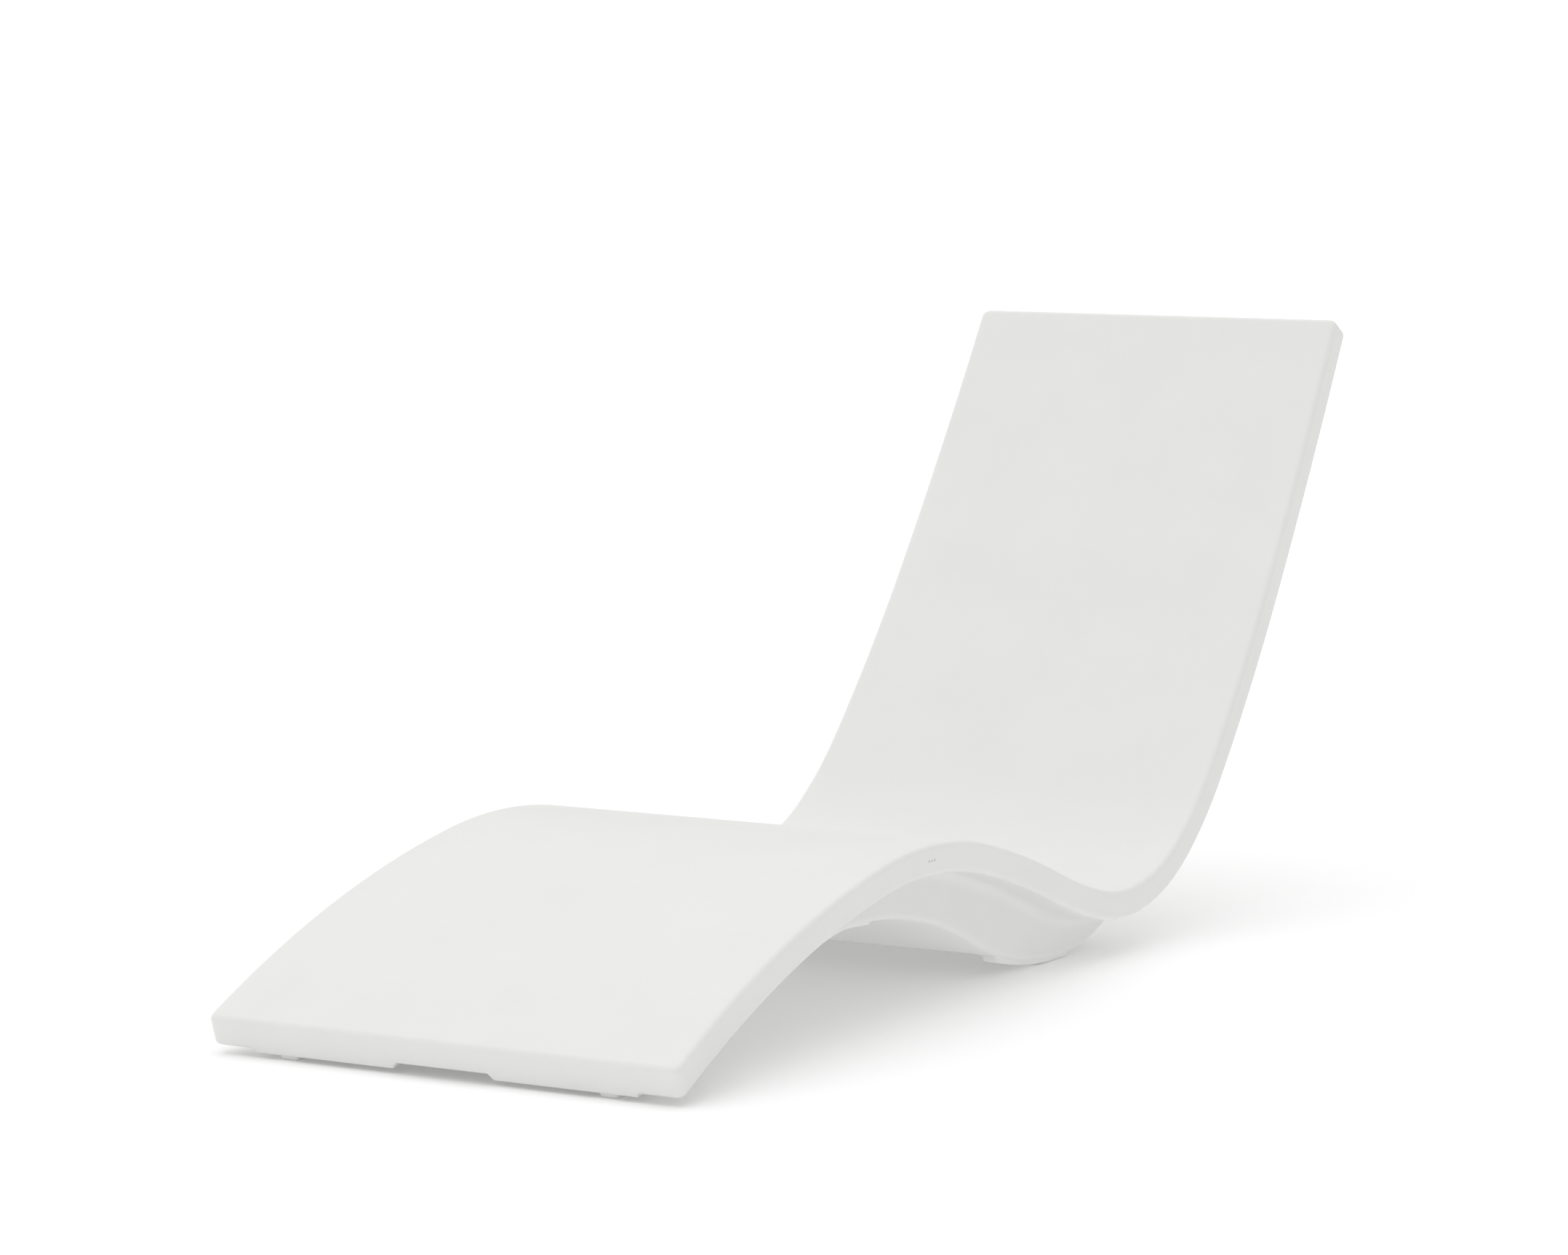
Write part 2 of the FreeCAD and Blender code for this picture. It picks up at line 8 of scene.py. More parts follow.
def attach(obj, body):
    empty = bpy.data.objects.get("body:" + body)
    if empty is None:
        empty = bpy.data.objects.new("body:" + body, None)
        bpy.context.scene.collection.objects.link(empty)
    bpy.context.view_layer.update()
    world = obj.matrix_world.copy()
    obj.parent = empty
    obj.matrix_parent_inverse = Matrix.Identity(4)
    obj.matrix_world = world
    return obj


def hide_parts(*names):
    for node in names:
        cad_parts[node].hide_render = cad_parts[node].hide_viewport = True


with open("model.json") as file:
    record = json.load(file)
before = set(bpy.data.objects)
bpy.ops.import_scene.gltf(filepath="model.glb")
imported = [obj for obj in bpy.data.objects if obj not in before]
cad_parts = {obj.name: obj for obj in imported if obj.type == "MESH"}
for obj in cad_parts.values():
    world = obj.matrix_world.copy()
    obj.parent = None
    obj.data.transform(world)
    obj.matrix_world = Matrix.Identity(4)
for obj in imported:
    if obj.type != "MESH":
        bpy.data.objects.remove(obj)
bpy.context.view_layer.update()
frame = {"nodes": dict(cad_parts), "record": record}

scene = bpy.context.scene
mm = 0.001
print("frame loaded")

# the long S of the lounger: each run is (length in mm, heading in degrees at its end)
panel = {
    "footWidth": 0.680,
    "headWidth": 0.587,
    "thickness": 0.040,
    "edge": 0.0075,         # rounding all round
    "corner": 0.012,        # rounding of the four corners seen from above
    "toeLean": 18.5,        # lean of the foot end face from upright
    "heading": 27.3,        # climb of the top face at the foot
    "runs": ((537, 9.8), (305, -14.4), (211, -21.4), (128, -14.1),
             (266, 34.3), (128, 47.7), (302, 54.8), (441, 58.9)),
    "step": 0.007,          # distance between cross sections
}

# the hollow keel under the legs and seat
keel = {
    "inset": 0.064,         # side wall in from the panel's edge
    "edge": 0.008,
    "toeRounding": 0.003,
    "cove": 0.015,          # soft hollow where the wall meets the panel
    "step": 0.0027,         # keel below the panel at the foot
    "clearance": 0.0066,    # lowest point above the floor
    "heading": 11.7,
    "runs": ((448, 16.2), (131, -1.7), (311, -24.8), (155, -8.3), (114, -0.8), (230, 41.0)),
    "channelFrom": 0.6,     # along the top face: hand hold before this, channel after it
    "tailEnd": 1.75,        # along the top face: no keel beyond this
    "channelHeight": 0.033,
    "channelWidth": 0.440,
    "channelDraft": 0.003,
    "holdWidth": 0.148,     # hand hold under the foot end
    "holdLength": 0.060,
    "holdDepth": 0.008,
    "holdSlope": 0.009,
}

# each joint is (y, z, heading, length of the run that led to it)
def chainJoints(start, heading, runs):
    joints = [(start[0], start[1], math.radians(heading), 0.0)]
    for run, endHeading in runs:
        run = run * mm
        y, z, turnFrom, _ = joints[-1]
        turnTo = math.radians(endHeading)
        bend = (turnTo - turnFrom) / run
        y += (math.sin(turnTo) - math.sin(turnFrom)) / bend
        z -= (math.cos(turnTo) - math.cos(turnFrom)) / bend
        joints.append((y, z, turnTo, run))
    return joints


def chainPlace(joints, distance):
    leg = 0
    while leg < len(joints) - 2 and distance > joints[leg + 1][3]:
        distance -= joints[leg + 1][3]
        leg += 1
    y, z, turnFrom, _ = joints[leg]
    turnTo, run = joints[leg + 1][2:]
    bend = (turnTo - turnFrom) / run
    turn = turnFrom + bend * distance
    y += (math.sin(turn) - math.sin(turnFrom)) / bend
    z -= (math.cos(turn) - math.cos(turnFrom)) / bend
    return y, z, turn


def chainLength(joints):
    return sum(joint[3] for joint in joints)


# the keel starts on the leaning foot face, one small step below the panel
lean = math.radians(panel["toeLean"])
toeTilt = math.radians(panel["heading"]) - lean
toeFace = panel["thickness"] / math.cos(toeTilt)
toeDepth = toeFace * math.cos(lean) + keel["step"]
keelStart = (toeDepth * math.tan(lean), -toeDepth)
looseKeel = chainJoints(keelStart, keel["heading"], keel["runs"])
keelLow = min(chainPlace(looseKeel, chainLength(looseKeel) * (0.4 + 0.6 * i / 800))[1] for i in range(801))
toeHeight = keel["clearance"] - keelLow
looseTop = chainJoints((0.0, toeHeight), panel["heading"], panel["runs"])
endY, endZ, endTurn = chainPlace(looseTop, chainLength(looseTop))
footY = -(endY + panel["thickness"] * math.sin(endTurn)) / 2
top = chainJoints((footY, toeHeight), panel["heading"], panel["runs"])
bottom = chainJoints((footY + keelStart[0], toeHeight + keelStart[1]), keel["heading"], keel["runs"])
topLength = chainLength(top)
endY, endZ, endTurn = chainPlace(top, topLength)
chord = Vector((0, endY - footY, endZ - toeHeight))
chordLength = chord.length
chord.normalize()
keelLine = [chainPlace(bottom, chainLength(bottom) * i / 900)[:2] for i in range(901)]


def fade(value, low, high):
    share = min(1.0, max(0.0, (value - low) / (high - low)))
    return share * share * (3 - 2 * share)


def stationFrame(s):
    # place on the top face, and the way down through the panel, which leans at the foot
    y, z, turn = chainPlace(top, s)
    slip = math.tan(toeTilt) * (1 - fade(s, 0.0, 0.10))
    down = Vector((0, math.sin(turn) - slip * math.cos(turn), -math.cos(turn) - slip * math.sin(turn)))
    return Vector((0, y, z)), down


def halfWidth(place):
    along = (place - Vector((0, footY, toeHeight))).dot(chord) / chordLength
    return (panel["footWidth"] - (panel["footWidth"] - panel["headWidth"]) * along) / 2


def keelDepth(place, down):
    # how far below the top face the keel's bottom is on this cross section
    best = None
    for (y0, z0), (y1, z1) in zip(keelLine, keelLine[1:]):
        ey, ez = y1 - y0, z1 - z0
        cross = down.y * ez - down.z * ey
        if abs(cross) < 1e-12:
            continue
        depth = ((y0 - place.y) * ez - (z0 - place.z) * ey) / cross
        along = ((y0 - place.y) * down.z - (z0 - place.z) * down.y) / cross
        if -0.001 <= along <= 1.001 and 0 < depth < 0.3:
            best = depth if best is None else min(best, depth)
    return best


def softMax(a, b, reach):
    return (a + b + math.sqrt((a - b) ** 2 + reach ** 2)) / 2


def rawDepths(s):
    place, down = stationFrame(s)
    depth = keelDepth(place, down) if s < keel["tailEnd"] else None
    if depth is None:
        depth = panel["thickness"] + keel["step"] if s < 0.05 else 0.0
    roof = depth
    if s > keel["channelFrom"]:
        roof = min(depth, (place.z - keel["channelHeight"]) / -down.z)
    return depth, roof


def sectionDepths(s):
    # panel top, panel underside, keel bottom and channel or hand hold roof, as depths at s
    edge, thickness = panel["edge"], panel["thickness"]
    end = min(s, topLength - s)
    pull = edge - math.sqrt(max(0.0, edge ** 2 - max(0.0, edge - end) ** 2))
    high, low = pull, thickness - pull
    depth, roof = rawDepths(s)
    if s > keel["channelFrom"]:
        depth = softMax(depth, low, 0.004)
        roof = softMax(roof, low, 0.004)
    toe = keel["toeRounding"]
    depth -= toe - math.sqrt(max(0.0, toe ** 2 - max(0.0, toe - s) ** 2))
    deep = max(depth, low + 0.0004)
    if s > keel["channelFrom"]:
        return high, low, deep, max(min(roof, deep), low + 0.0003)
    hold = keel["holdDepth"] * (1 - fade(s, keel["holdLength"] - 0.012, keel["holdLength"]))
    return high, low, deep, deep - hold


def halfSection(s):
    # (x, depth) from the middle of the top face, round the edge, to the middle underneath
    edge, corner, thickness = panel["edge"], panel["corner"], panel["thickness"]
    place, down = stationFrame(s)
    half = halfWidth(place + down * (thickness / 2))
    high, low, deep, roof = sectionDepths(s)
    end = min(s, topLength - s)

    def reach(inset):
        return half - corner + math.sqrt(max(0.0, (corner - inset) ** 2 - max(0.0, corner - end) ** 2))

    first = math.asin(max(0.0, 1 - end / edge)) if end < edge else 0.0
    steps, strip, lip = 6, 0.004, 0.002      # strips keep the flats flat beside a rounding
    angles = [first + (math.pi / 2 - first) * i / steps for i in range(steps + 1)]
    arc = [(reach(edge * (1 - math.sin(a))), edge * (1 - math.cos(a))) for a in angles]
    flat = arc[0][0]
    points = [(flat * f, high) for f in (0, 0.17, 0.34, 0.51, 0.68, 0.83, 0.93)]
    points.append((flat - strip, high))
    points += arc
    for f in (0.25, 0.5, 0.75):
        points.append((arc[-1][0], edge + (thickness - 2 * edge) * f))
    points += [(x, thickness - d) for x, d in reversed(arc)]

    wall = halfWidth(place + down * (deep * 0.8)) - keel["inset"]
    height = deep - low
    bead = min(keel["edge"], 0.42 * height)
    cove = min(keel["cove"], 0.5 * height)
    coveWide = max(cove, 0.009)
    points.append((flat - strip, low))
    for f in (0.33, 0.66):
        points.append((flat - strip + (wall + coveWide + strip - flat + strip) * f, low))
    points.append((wall + coveWide + strip, low))
    for i in range(8):
        a = math.pi / 2 * i / 7
        points.append((wall + coveWide * (1 - math.sin(a)), low + cove * (1 - math.cos(a))))
    for f in (0.1, 0.5, 0.9):
        points.append((wall, low + cove + (height - cove - bead) * f))
    for i in range(7):
        a = math.pi / 2 * i / 6
        points.append((wall - bead * (1 - math.cos(a)), deep - bead * (1 - math.sin(a))))
    ramp = fade(s, 0.08, keel["channelFrom"])
    channel = keel["holdWidth"] / 2 * (1 - ramp) + keel["channelWidth"] / 2 * ramp
    slope = keel["holdSlope"] * (1 - ramp) + keel["channelDraft"] * ramp
    inner = wall - bead
    points.append((inner - lip, deep))
    for f in (0.25, 0.5, 0.75):
        points.append((inner - lip + (channel + lip - inner + lip) * f, deep))
    points.append((channel + lip, deep))
    for f in (0.0, 0.12, 0.5, 0.88, 1.0):
        sag = deep + (roof - deep) * fade(f, 0, 1)
        points.append((channel - slope * f, sag))
    points.append((channel - slope - lip, roof))
    for f in (0.75, 0.5, 0.25, 0.0):
        points.append(((channel - slope - lip) * f, roof))
    return place, down, points


def findStation(test, low, high):
    # where test() turns from False to True
    for _ in range(40):
        middle = (low + high) / 2
        if test(middle):
            high = middle
        else:
            low = middle
    return high


def bodyStations():
    turnIns = [panel["edge"] * (1 - math.cos(math.radians(a))) for a in (0, 12, 25, 38, 52, 65, 78, 90)]
    turnIns += [0.0085, 0.0100, 0.0122, 0.0150, 0.0185, 0.0225]
    stations = set(turnIns) | {topLength - s for s in turnIns}
    count = round((topLength - 0.054) / panel["step"])
    stations |= {0.027 + (topLength - 0.054) * i / count for i in range(count + 1)}
    stations |= {0.0455, 0.0480, 0.0505, 0.0530, 0.0555, 0.0580, 0.0600, 0.0615}

    def inChannel(s):
        depth, roof = rawDepths(s)
        return depth - roof > 1e-5

    begins = findStation(inChannel, 0.7, 1.1)
    ends = findStation(lambda s: not inChannel(s), 1.2, 1.6)
    for crease in (begins, ends):
        stations -= {s for s in stations if abs(s - crease) < 0.0035}
        stations |= {crease - 0.0025, crease, crease + 0.0015, crease + 0.004}
    return sorted(stations)


def newObject(name, mesh):
    made = bpy.data.objects.new(name, mesh)
    scene.collection.objects.link(made)
    return made


def finishMesh(bm, name, sharpAngle=32.0):
    manySided = [face for face in bm.faces if len(face.verts) > 4]
    bmesh.ops.triangulate(bm, faces=manySided, ngon_method="BEAUTY")
    bmesh.ops.remove_doubles(bm, verts=bm.verts, dist=1e-5)
    bmesh.ops.dissolve_degenerate(bm, edges=bm.edges, dist=1e-5)
    bmesh.ops.recalc_face_normals(bm, faces=bm.faces)
    for face in bm.faces:
        face.smooth = True
    for edge in bm.edges:
        if len(edge.link_faces) == 2 and edge.calc_face_angle(0) > math.radians(sharpAngle):
            edge.smooth = False
    mesh = bpy.data.meshes.new(name)
    bm.to_mesh(mesh)
    bm.free()
    return mesh


def makeBody():
    bm = bmesh.new()
    rings = []
    for s in bodyStations():
        place, down, half = halfSection(s)
        loop = half + [(-x, d) for x, d in reversed(half[1:-1])]
        rings.append([bm.verts.new(place + down * d + Vector((x, 0, 0))) for x, d in loop])
    for ring, after in zip(rings, rings[1:]):
        for i in range(len(ring)):
            j = (i + 1) % len(ring)
            bm.faces.new((ring[i], ring[j], after[j], after[i]))
    for ring in (rings[0], rings[-1]):
        bm.faces.new(ring)
    bmesh.ops.remove_doubles(bm, verts=bm.verts, dist=2e-6)
    bmesh.ops.dissolve_degenerate(bm, edges=bm.edges, dist=1e-6)
    caps = [face for face in bm.faces if len(face.verts) > 4]
    bmesh.ops.triangulate(bm, faces=caps, quad_method="BEAUTY", ngon_method="BEAUTY")
    bmesh.ops.recalc_face_normals(bm, faces=bm.faces)
    mesh = bpy.data.meshes.new("lounger_body")
    bm.to_mesh(mesh)
    bm.free()
    return newObject("lounger_body", mesh)


# what is cut into the body
cuts = {
    "ventRadius": 0.0013,
    "ventPitch": 0.0077,
    "ventStation": 0.667,
    "ventDepth": 0.008,
    "recessRadius": 0.034,
    "recessDepth": 0.014,
    "recessFlare": 0.004,
    "bushingRadius": 0.0241,
    "bushingDepth": 0.0281,
    "boreRadius": 0.017,
    "boreDepth": 0.034,
}

# where the two water ports are, along the top face from the foot
ports = {"fill": 2.030, "drain": 1.515}


def portMatrix(station):
    # Z points out of the back face
    place, down = stationFrame(station)
    out = down.normalized()
    side = Vector((1, 0, 0))
    frameMatrix = Matrix((side, out.cross(side), out)).transposed().to_4x4()
    frameMatrix.translation = place + out * panel["thickness"]
    return frameMatrix


def turned(bm, profile, around, matrix, wobble=None):
    # a closed turned shape; profile is (radius, height), starting and ending on the axis
    rows = []
    for k, (radius, height) in enumerate(profile):
        if radius < 1e-7:
            rows.append([bm.verts.new(matrix @ Vector((0, 0, height)))])
            continue
        row = []
        for i in range(around):
            angle = 2 * math.pi * (i + 0.4) / around      # off the symmetry lines, for clean cuts
            r = radius if wobble is None else wobble(k, angle, radius, height)
            row.append(bm.verts.new(matrix @ Vector((r * math.cos(angle), r * math.sin(angle), height))))
        rows.append(row)
    for row, after in zip(rows, rows[1:]):
        for i in range(around):
            j = (i + 1) % around
            corners = [row[i % len(row)], row[j % len(row)], after[j % len(after)], after[i % len(after)]]
            bm.faces.new([v for n, v in enumerate(corners) if v not in corners[:n]])


def cutAway(target, cutter):
    tool = target.modifiers.new("cut", "BOOLEAN")
    tool.operation = "DIFFERENCE"
    tool.solver = "EXACT"
    tool.object = cutter
    graph = bpy.context.evaluated_depsgraph_get()
    mesh = bpy.data.meshes.new_from_object(target.evaluated_get(graph))
    target.modifiers.clear()
    old = target.data
    target.data = mesh
    bpy.data.meshes.remove(old)
    bpy.data.objects.remove(cutter)


def makeCutter():
    bm = bmesh.new()
    flare = cuts["recessFlare"]
    for station in ports.values():
        radius = cuts["recessRadius"]
        rim = [(radius + (t * flare * 2) ** 2 / (2 * flare), -flare + t * flare * 2)
               for t in (0.0, 0.17, 0.33, 0.5, 0.67, 0.83, 1.0)]
        foot = 0.0015
        profile = [(0, -cuts["boreDepth"]), (cuts["boreRadius"], -cuts["boreDepth"]),
                   (cuts["boreRadius"], -cuts["bushingDepth"]),
                   (cuts["bushingRadius"], -cuts["bushingDepth"]),
                   (cuts["bushingRadius"], -cuts["recessDepth"]),
                   (radius - foot, -cuts["recessDepth"]),
                   (radius - foot * 0.3, -cuts["recessDepth"] + foot * 0.3),
                   (radius, -cuts["recessDepth"] + foot)]
        profile += rim + [(0, flare)]
        turned(bm, profile, 96, portMatrix(station))
    for index in (-1, 0, 1):
        place, down = stationFrame(cuts["ventStation"] + index * cuts["ventPitch"])
        centre = place + down * (panel["thickness"] / 2)
        half = halfWidth(centre)
        for side in (-1, 1):
            outward = Vector((side, 0, 0))
            matrix = outward.to_track_quat("Z", "Y").to_matrix().to_4x4()
            matrix.translation = centre + outward * half
            r, depth = cuts["ventRadius"], cuts["ventDepth"]
            hole = [(0, -depth - r), (r * 0.7, -depth - r * 0.3), (r, -depth), (r, -0.0006)]
            hole += [(r * 1.35, 0.0), (r * 2.2, 0.0009), (0, 0.0009)]      # eased mouth
            turned(bm, hole, 20, matrix)
    bmesh.ops.recalc_face_normals(bm, faces=bm.faces)
    mesh = bpy.data.meshes.new("cutter")
    bm.to_mesh(mesh)
    bm.free()
    return newObject("cutter", mesh)


def newNode(tree, kind, **settings):
    made = tree.nodes.new(kind)
    for key, value in settings.items():
        setattr(made, key, value)
    return made


def noise(tree, place, grain, detail, roughness):
    made = newNode(tree, "ShaderNodeTexNoise")
    made.inputs["Scale"].default_value = 1.0 / grain
    made.inputs["Detail"].default_value = detail
    made.inputs["Roughness"].default_value = roughness
    tree.links.new(place, made.inputs["Vector"])
    return made.outputs["Fac"]


def spread(tree, value, low, high):
    # a noise mostly runs from 0.3 to 0.7
    made = newNode(tree, "ShaderNodeMapRange")
    made.inputs["From Min"].default_value = 0.3
    made.inputs["From Max"].default_value = 0.7
    made.inputs["To Min"].default_value = low
    made.inputs["To Max"].default_value = high
    tree.links.new(value, made.inputs["Value"])
    return made.outputs["Result"]


def tint(tree, value, dark, light):
    made = newNode(tree, "ShaderNodeMix", data_type="RGBA")
    colours = {"A": dark, "B": light}
    for socket in made.inputs:
        if socket.type == "RGBA":
            socket.default_value = (*colours[socket.name], 1)
    tree.links.new(value, made.inputs["Factor"])
    return [socket for socket in made.outputs if socket.type == "RGBA"][0]


def average(tree, one, other):
    total = newNode(tree, "ShaderNodeMath", operation="ADD")
    tree.links.new(one, total.inputs[0])
    tree.links.new(other, total.inputs[1])
    half = newNode(tree, "ShaderNodeMath", operation="MULTIPLY")
    half.inputs[1].default_value = 0.5
    tree.links.new(total.outputs[0], half.inputs[0])
    return half.outputs[0]


def bump(tree, height, depth, under=None):
    made = newNode(tree, "ShaderNodeBump")
    made.inputs["Strength"].default_value = 1.0
    made.inputs["Distance"].default_value = depth
    tree.links.new(height, made.inputs["Height"])
    if under:
        tree.links.new(under, made.inputs["Normal"])
    return made.outputs["Normal"]


finishes = {
    # cloud, peel and fine are the grain, in metres, of the colour, the orange peel and the fine texture
    "moulded_shell": {"dark": (0.780, 0.782, 0.765), "light": (0.796, 0.798, 0.784), "rough": (0.50, 0.60),
                      "cloud": 0.12, "peel": 0.011, "fine": 0.0011,
                      "peelDepth": 0.00008, "fineDepth": 0.00004},
    "skid": {"dark": (0.795, 0.797, 0.782), "light": (0.825, 0.827, 0.813), "rough": (0.62, 0.75),
             "cloud": 0.05, "peel": 0.006, "fine": 0.0008, "peelDepth": 0.00003, "fineDepth": 0.00005},
    "bushing": {"dark": (0.70, 0.70, 0.67), "light": (0.76, 0.76, 0.73), "rough": (0.35, 0.45),
                "cloud": 0.03, "peel": 0.008, "fine": 0.0005, "peelDepth": 0.00003, "fineDepth": 0.00001},
    "seal": {"dark": (0.018, 0.018, 0.019), "light": (0.035, 0.035, 0.036), "rough": (0.45, 0.6),
             "cloud": 0.006, "peel": 0.002, "fine": 0.0003, "peelDepth": 0.00002, "fineDepth": 0.00001},
    "plug": {"dark": (0.82, 0.825, 0.81), "light": (0.86, 0.86, 0.85), "rough": (0.32, 0.42),
             "cloud": 0.02, "peel": 0.006, "fine": 0.0005, "peelDepth": 0.00003, "fineDepth": 0.000015},
}


def makeFinish(name, finish):
    material = bpy.data.materials.new(name)
    material.use_nodes = True
    tree = material.node_tree
    shader = tree.nodes["Principled BSDF"]
    place = newNode(tree, "ShaderNodeTexCoord").outputs["Object"]
    cloud = noise(tree, place, finish["cloud"], 4.0, 0.55)
    colour = tint(tree, spread(tree, cloud, 0, 1), finish["dark"], finish["light"])
    tree.links.new(colour, shader.inputs["Base Color"])
    fine = noise(tree, place, finish["fine"], 2.0, 0.6)
    peel = noise(tree, place, finish["peel"], 3.0, 0.45)
    roughness = spread(tree, average(tree, fine, peel), *finish["rough"])
    tree.links.new(roughness, shader.inputs["Roughness"])
    rolling = bump(tree, peel, finish["peelDepth"])
    tree.links.new(bump(tree, fine, finish["fineDepth"], rolling), shader.inputs["Normal"])
    return material


materials = {name: makeFinish(name, finish) for name, finish in finishes.items()}
print("materials made")


studio = {
    "cameraPlace": (3.5144, -6.1234, 1.2314),
    "cameraTilt": 83.717,
    "cameraTurn": 30.485,
    "lens": 121.34,
    "floorTone": 0.90,
    "floorGlow": 0.12,
    "zenith": 0.92,
    "horizon": 0.43,
    "sunPower": 0.95,
    "sunSpread": 110.0,      # how soft, in degrees
    "sunFrom": (-0.35, 0.0, 0.93),
    "bounceGlow": 0.15,       # light coming up off the paper under the lounger
    "bounceSize": (0.7, 1.3),
    "backdropReach": 60.0,
    "backdropHeight": 2.5,
}


def makeCamera():
    data = bpy.data.cameras.new("camera")
    data.lens = studio["lens"]
    data.sensor_width = 36.0
    data.dof.use_dof = False
    camera = bpy.data.objects.new("camera", data)
    camera.location = studio["cameraPlace"]
    tilt, turn = math.radians(studio["cameraTilt"]), math.radians(studio["cameraTurn"])
    camera.rotation_euler = Euler((tilt, 0, turn))
    scene.collection.objects.link(camera)
    scene.camera = camera


def glowing(name, colour, roughness, glow):
    material = bpy.data.materials.new(name)
    material.use_nodes = True
    shader = material.node_tree.nodes["Principled BSDF"]
    shader.inputs["Base Color"].default_value = (*colour, 1)
    shader.inputs["Roughness"].default_value = roughness
    shader.inputs["Specular IOR Level"].default_value = 0.0
    shader.inputs["Emission Color"].default_value = (1, 1, 1, 1)
    shader.inputs["Emission Strength"].default_value = glow
    return material


def makeStage():
    reach, count = studio["backdropReach"], 64
    angles = [2 * math.pi * i / count for i in range(count)]
    ring = [(reach * math.cos(a), reach * math.sin(a)) for a in angles]
    mesh = bpy.data.meshes.new("floor")
    mesh.from_pydata([(x, y, 0) for x, y in ring], [], [tuple(range(count))])
    floor = newObject("floor", mesh)
    mesh.materials.append(glowing("floorPaper", (studio["floorTone"],) * 3, 0.9, studio["floorGlow"]))
    height = studio["backdropHeight"]
    mesh = bpy.data.meshes.new("backdrop")
    mesh.from_pydata([(x, y, 0) for x, y in ring] + [(x, y, height) for x, y in ring], [],
                     [(i, (i + 1) % count, (i + 1) % count + count, i + count) for i in range(count)])
    backdrop = newObject("backdrop", mesh)
    mesh.materials.append(glowing("backdropPaper", (0.9,) * 3, 0.9, 1.0))


def makeLight():
    world = bpy.data.worlds.new("sky")
    world.use_nodes = True
    tree = world.node_tree
    place = tree.nodes.new("ShaderNodeTexCoord")
    split = tree.nodes.new("ShaderNodeSeparateXYZ")
    climb = tree.nodes.new("ShaderNodeMapRange")
    climb.inputs["From Min"].default_value = 0.0
    climb.inputs["From Max"].default_value = 1.0
    climb.inputs["To Min"].default_value = studio["horizon"]
    climb.inputs["To Max"].default_value = studio["zenith"]
    tree.links.new(place.outputs["Generated"], split.inputs[0])
    tree.links.new(split.outputs["Z"], climb.inputs["Value"])
    tree.nodes["Background"].inputs["Color"].default_value = (1, 1, 1, 1)
    tree.links.new(climb.outputs["Result"], tree.nodes["Background"].inputs["Strength"])
    scene.world = world
    data = bpy.data.lights.new("sun", "SUN")
    data.energy = studio["sunPower"]
    data.angle = math.radians(studio["sunSpread"])
    sun = bpy.data.objects.new("sun", data)
    sun.rotation_euler = Vector(studio["sunFrom"]).to_track_quat("Z", "Y").to_euler()
    scene.collection.objects.link(sun)
    data = bpy.data.lights.new("bounce", "AREA")
    data.shape = "RECTANGLE"
    data.size, data.size_y = studio["bounceSize"]
    data.energy = studio["bounceGlow"] * math.pi * data.size * data.size_y
    bounce = bpy.data.objects.new("bounce", data)
    bounce.location = (0, -0.15, 0.002)
    bounce.rotation_euler = (math.pi, 0, 0)
    bounce.visible_camera = False
    scene.collection.objects.link(bounce)


# the body is made whole, then the recesses and vents are cut out of it
body = makeBody()
cutAway(body, makeCutter())
bm = bmesh.new()
bm.from_mesh(body.data)
body.data = finishMesh(bm, "lounger_body")
body.data.materials.append(materials["moulded_shell"])
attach(body, "body")
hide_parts("shell")
print("body made:", len(body.data.polygons), "faces")


skids = {
    # start and end from the foot, distance from the middle, width, share of the half width that is flat
    "front": {"start": 0.019, "end": 0.620, "offset": 0.231, "width": 0.034, "flat": 0.60, "nose": 0.006,
              "padLength": 0.030},
    "rear": {"start": 0.956, "end": 1.160, "offset": 0.235, "width": 0.026, "flat": 0.70, "nose": 0.004,
             "padLength": 0.0},
    "proud": 0.0071,
    "padSlope": 35.0,        # from a ground pad up to the rail
    "seat": 0.0015,          # how deep they are let into the keel
}


def keelHeight(y):
    for (y0, z0), (y1, z1) in zip(keelLine, keelLine[1:]):
        if y0 <= y <= y1:
            return z0 + (z1 - z0) * (y - y0) / (y1 - y0), math.atan2(z1 - z0, y1 - y0)
    return keelLine[0][1], math.radians(keel["heading"])


